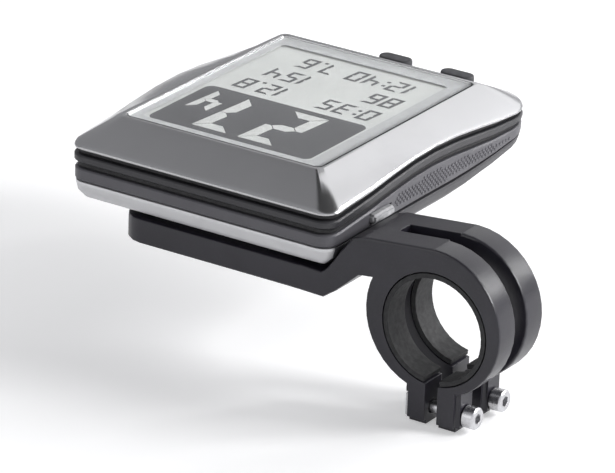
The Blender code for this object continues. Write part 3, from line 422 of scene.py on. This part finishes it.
def smooth_copies():
    """Each CAD node is shown by a copy with its flat faces merged and its curved ones shaded smooth."""
    record = frame["record"]
    body_of = {node: body for body, nodes in record["behaviour"]["bodies"].items() for node in nodes}
    for part in record["subparts"]:
        node, slot = part["node"], part["material_slot"]
        bm = bmesh.new()
        bm.from_mesh(NODES[node].data)
        bmesh.ops.remove_doubles(bm, verts=bm.verts[:], dist=MERGE_DISTANCE)
        bmesh.ops.dissolve_limit(bm, angle_limit=FLAT_ANGLE, verts=bm.verts[:], edges=bm.edges[:])
        obj = piece(f"fine_{node}", bm, NODE_LOOKS.get(node, SLOT_LOOKS[slot]), body_of[node])
        obj.modifiers.new("weighted normals", "WEIGHTED_NORMAL").keep_sharp = True
        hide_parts(node)


# Side grips

def add_stud(bm, place, side):
    """A small diamond that stands on a wall facing along X."""
    corners = ((1, 0), (0, 1), (-1, 0), (0, -1))
    foot, top = [[bm.verts.new(place + Vector((side * reach, half * y, half * z))) for y, z in corners]
                 for half, reach in ((STUD_FOOT, -STUD_SUNK), (STUD_TOP, STUD_HEIGHT))]
    add_solid(bm, foot, top)


def make_side_grips():
    """Rows of studs wherever the long side walls of the rear housing leave room for them."""
    low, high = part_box("rear_housing")
    key_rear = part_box("side_key")[1].y
    shell = bmesh.new()
    shell.from_mesh(NODES["rear_housing"].data)
    tree = BVHTree.FromBMesh(shell)
    shell.free()
    bm = bmesh.new()
    for side in (-1, 1):
        start = high.x + STUD_HEIGHT if side > 0 else low.x - STUD_HEIGHT

        def wall(y, z):
            """The point of the side wall at a height and a place along it, or None."""
            place, normal = tree.ray_cast(Vector((start, y, z)), Vector((-side, 0, 0)), GRIP_REACH)[:2]
            return place if place and side * normal.x > WALL_FACING else None

        for row in range(round((high.z - low.z) / (GRIP_PITCH / 2))):
            z = low.z + row * GRIP_PITCH / 2
            y = GRIP_FRONT + row % 2 * GRIP_PITCH / 2
            while y < GRIP_REAR:
                clear_of_key = side < 0 or y >= key_rear + GRIP_PITCH
                if clear_of_key and wall(y, z - GRIP_MARGIN) and wall(y, z + GRIP_MARGIN) and wall(y, z):
                    add_stud(bm, wall(y, z), side)
                y += GRIP_PITCH
    piece("side_grips", bm, GRIP_SHELL, "computer")


# Seven-segment figures: the bars that each one lights
FIGURES = {"0": "abcdef", "1": "bc", "2": "abged", "3": "abgcd", "4": "fgbc", "5": "afgcd", "6": "afgedc",
           "7": "abc", "8": "abcdefg", "9": "abcdfg"}
DOTS = {".": (0.0,), ":": (0.3, 0.7)}       # heights of the dots' middles, as shares of the figures' height


def bar_corners(name, width, height, stroke):
    """The corners of one bar of a figure whose lower left corner is at 0,0, with mitred ends."""
    middle, half, inner = height / 2, stroke / 2, width - stroke
    level = [(0, height), (width, height), (inner, height - stroke), (stroke, height - stroke)]
    upright = [(width, height), (width, middle), (width - half, middle), (inner, middle + half),
               (inner, height - stroke)]
    centre = [(half, middle), (stroke, middle + half), (inner, middle + half), (width - half, middle),
              (inner, middle - half), (stroke, middle - half)]
    points = {"a": level, "d": level, "g": centre}.get(name, upright)
    at_left, at_foot = name in "ef", name in "cde"
    return [Vector((width - x if at_left else x, height - y if at_foot else y)) for x, y in points]


def drawn_in(points, distance):
    """A convex outline with every side moved inwards by a distance."""
    centre = sum(points, Vector((0, 0))) / len(points)
    sides = []
    for a, b in zip(points, points[1:] + points[:1]):
        normal = Vector((a.y - b.y, b.x - a.x)).normalized()
        if normal.dot(centre - a) < 0:
            normal = -normal
        sides.append((normal, normal.dot(a) + distance))
    corners = []
    for (n, p), (m, q) in zip(sides[-1:] + sides[:-1], sides):
        turn = n.x * m.y - n.y * m.x
        corners.append(Vector(((p * m.y - q * n.y) / turn, (n.x * q - m.x * p) / turn)))
    return corners


def add_figures(bm, text, start, base, size, low):
    """Draws figures for a reader at +Y: their right is -X and their up is -Y. Returns where the text ends."""
    width, height, stroke, pitch = size
    high = low + PRINT_THICKNESS
    x = start
    for sign in text:
        if sign in DOTS:
            for share in DOTS[sign]:
                y = base - max(share * height, stroke / 2)
                dot = rounded(x - stroke, y - stroke / 2, x, y + stroke / 2, stroke * DOT_CORNER, 2)
                add_plate(bm, dot, low, high)
            x -= pitch - width + stroke
            continue
        for name in FIGURES[sign]:
            bar = drawn_in(bar_corners(name, width, height, stroke), BAR_GAP * stroke / 2)
            add_plate(bm, [Vector((x - p.x - SLANT * p.y, base - p.y)) for p in bar], low, high)
        x -= pitch
    return x


# Display

def make_display():
    """The printed mask under the window, and the display's front glass with its band and figures."""
    def layer(name, look, low, high, *outlines):
        bm = bmesh.new()
        (add_ring_plate if len(outlines) > 1 else add_plate)(bm, *outlines, low, high)
        piece(name, bm, look, "computer")

    window_low, window_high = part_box("display_window")
    window = rounded(window_low.x + MASK_MARGIN, window_low.y + MASK_MARGIN,
                     window_high.x - MASK_MARGIN, window_high.y - MASK_MARGIN, SCREEN_CORNER)
    screen = rounded(SCREEN_LEFT, SCREEN_FRONT, SCREEN_RIGHT, SCREEN_REAR, SCREEN_CORNER)
    glass = rounded(GLASS_LEFT, GLASS_FRONT, GLASS_RIGHT, GLASS_REAR, GLASS_CORNER, 3)
    band = rounded(BAND_LEFT, BAND_FRONT, BAND_RIGHT, BAND_REAR, BAND_CORNER)
    mask_top, glass_top = window_low.z - PRINT_GAP, window_low.z - GLASS_TO_WINDOW
    glass_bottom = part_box("lcd_panel")[1].z + PRINT_GAP
    band_low = glass_top + PRINT_GAP
    layer("window_mask", MASK_PRINT, mask_top - MASK_THICKNESS, mask_top, window, screen)
    layer("lcd_front_glass", SLOT_LOOKS["lcd_glass"], glass_bottom, glass_top, glass)
    layer("lcd_band", LCD_DARK, band_low, band_low + PRINT_THICKNESS, band)

    speed_low = band_low + PRINT_THICKNESS + PRINT_GAP
    bm = bmesh.new()
    end = add_figures(bm, "27", SPEED_START, SPEED_BASE, SPEED_SIZE, speed_low)
    add_figures(bm, "4", end, SPEED_BASE, TENTHS_SIZE, speed_low)
    piece("lcd_speed", bm, LCD_LIGHT, "computer")
    bm = bmesh.new()
    for base, texts in ROWS.items():
        for text, start in zip(texts, ROW_STARTS):
            add_figures(bm, text, start, base, ROW_SIZE, band_low)
    piece("lcd_rows", bm, LCD_DARK, "computer")


# Floor, lights and camera

def make_floor():
    """A wide pale floor that the camera sees as white."""
    bm = bmesh.new()
    bmesh.ops.create_grid(bm, x_segments=1, y_segments=1, size=FLOOR_HALF_WIDTH)
    look = Look("floor", FLOOR_COLOUR, FLOOR_ROUGHNESS)
    path = look.node("ShaderNodeLightPath").outputs
    seen = look.maths("MAXIMUM", path["Is Camera Ray"], path["Is Glossy Ray"])
    seen = look.maths("MAXIMUM", seen, path["Is Transmission Ray"])
    glow = look.maths("MULTIPLY", seen, FLOOR_GLOW)
    finished = look.finished({"Emission Color": (1, 1, 1, 1), "Emission Strength": glow})
    floor = new_object("floor", bm, finished)
    floor.location.z = CAD_BOX[0][2] - FLOOR_GAP


def make_lamps():
    """Soft rectangular lamps that are aimed at the object's middle."""
    middle = (Vector(CAD_BOX[0]) + Vector(CAD_BOX[1])) / 2
    for name, (place, size, power) in LAMPS.items():
        lamp = bpy.data.lights.new(name, "AREA")
        lamp.shape = "RECTANGLE"
        lamp.size, lamp.size_y = size
        lamp.energy = power
        obj = bpy.data.objects.new(name, lamp)
        obj.location = middle + Vector(place)
        obj.rotation_euler = (-Vector(place)).to_track_quat("-Z", "Y").to_euler()
        bpy.context.scene.collection.objects.link(obj)


def make_room():
    """The world: even light, with its dark part and its dimmer left."""
    world = bpy.data.worlds.new("world")
    bpy.context.scene.world = world
    world.use_nodes = True
    room = Nodes(world.node_tree)
    direction = room.node("ShaderNodeTexCoord").outputs["Generated"]
    cosine = room.node("ShaderNodeVectorMath", {0: direction, 1: DARK_CENTRE}, operation="DOT_PRODUCT")
    sideways = room.node("ShaderNodeSeparateXYZ", {"Vector": direction}).outputs["X"]
    strength = room.maths("MULTIPLY", room.ranged(cosine.outputs["Value"], DARK_COSINES, DARK_STRENGTHS),
                          room.ranged(sideways, SIDE_DIRECTIONS, SIDE_SHARES))
    room.set(room.tree.nodes["Background"], {"Color": ROOM_COLOUR, "Strength": strength})


def make_camera():
    """The photographer's place and tilt, turned to the object's middle, with a longer lens."""
    a, e, r = (math.radians(v) for v in (PHOTO_AZIMUTH, PHOTO_ELEVATION, PHOTO_ROLL))
    back = Vector((math.sin(a) * math.cos(e), -math.cos(a) * math.cos(e), math.sin(e)))
    level = Vector((math.cos(a), math.sin(a), 0))
    upright = back.cross(level)
    right = math.cos(r) * level + math.sin(r) * upright
    up = math.cos(r) * upright - math.sin(r) * level
    place = PHOTO_POINT + back * PHOTO_DISTANCE - right * PHOTO_POINT_OFFSET.x - up * PHOTO_POINT_OFFSET.y
    forward = (AIM - place).normalized()
    side = forward.cross(up).normalized()
    top = side.cross(forward)
    camera = bpy.data.cameras.new("camera")
    camera.sensor_width = SENSOR_WIDTH
    camera.lens = SENSOR_WIDTH * PHOTO_FOCAL * ZOOM / PHOTO_WIDTH
    obj = bpy.data.objects.new("camera", camera)
    obj.matrix_world = Matrix((side, top, -forward)).transposed().to_4x4()
    obj.location = place
    bpy.context.scene.collection.objects.link(obj)
    bpy.context.scene.camera = obj


smooth_copies()
make_side_grips()
make_display()
make_floor()
make_lamps()
make_room()
make_camera()
bpy.context.scene.view_settings.view_transform = "Standard"
